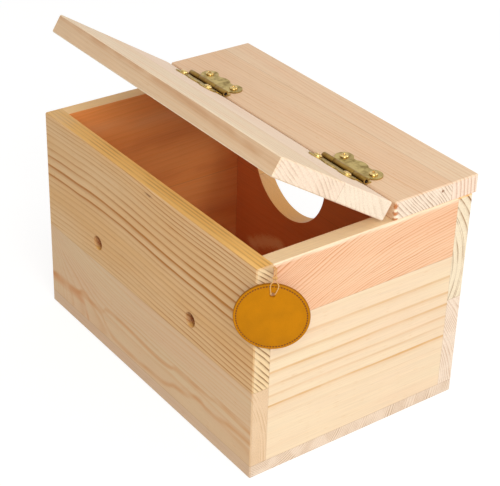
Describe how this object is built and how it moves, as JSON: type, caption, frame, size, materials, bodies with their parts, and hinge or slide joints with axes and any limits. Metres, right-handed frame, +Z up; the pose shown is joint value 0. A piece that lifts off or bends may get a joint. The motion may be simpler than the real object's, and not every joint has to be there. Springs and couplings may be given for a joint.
{
  "type": "bird breeding box",
  "caption": "Pine nesting box for small cage birds: a closed box with a round entrance, small vent holes and a lid that turns on two butterfly hinges.",
  "frame": {"origin": "middle of the underside of the floor", "axes": "+X along the box to the end with the hang tag, +Y through the wall with the round entrance, +Z up"},
  "size_m": [0.2549, 0.1741, 0.2097],
  "materials": {
    "pine": "planed and sanded, bare",
    "hinge_brass": "brass plate, pressed and slightly dulled",
    "pin_steel": "drawn wire, thinly brassed",
    "screw_brass": "bright brassed heads",
    "brad_steel": "bright wire nail",
    "tag_leather": "smooth, stitched round its rim",
    "jute": "twisted twine"
  },
  "bodies": {
    "box": {"floor_board": "pine", "vent_wall_lower": "pine", "vent_wall_upper": "pine", "entrance_wall_lower": "pine", "entrance_wall_upper": "pine", "right_end_wall_lower": "pine", "right_end_wall_upper": "pine", "left_end_wall_lower": "pine", "left_end_wall_upper": "pine", "roof_front_stave": "pine", "roof_rear_stave": "pine", "left_hinge_roof_leaf": "hinge_brass", "left_hinge_pin": "pin_steel", "left_hinge_roof_screws": "screw_brass", "right_hinge_roof_leaf": "hinge_brass", "right_hinge_pin": "pin_steel", "right_hinge_roof_screws": "screw_brass", "floor_brads": "brad_steel", "tag_disc": "tag_leather", "tag_twine": "jute", "twine_knot": "jute"},
    "lid": {"lid_rear_stave": "pine", "lid_front_stave": "pine", "left_hinge_lid_leaf": "hinge_brass", "left_hinge_lid_screws": "screw_brass", "right_hinge_lid_leaf": "hinge_brass", "right_hinge_lid_screws": "screw_brass"}
  },
  "joints": [
    {"name": "lid_hinge", "type": "hinge", "parent": "box", "child": "lid", "pos_m": [0, 0.0173, 0.15965], "axis": [-1, 0, 0], "range_deg": [-32.5, 137.5]}
  ]
}
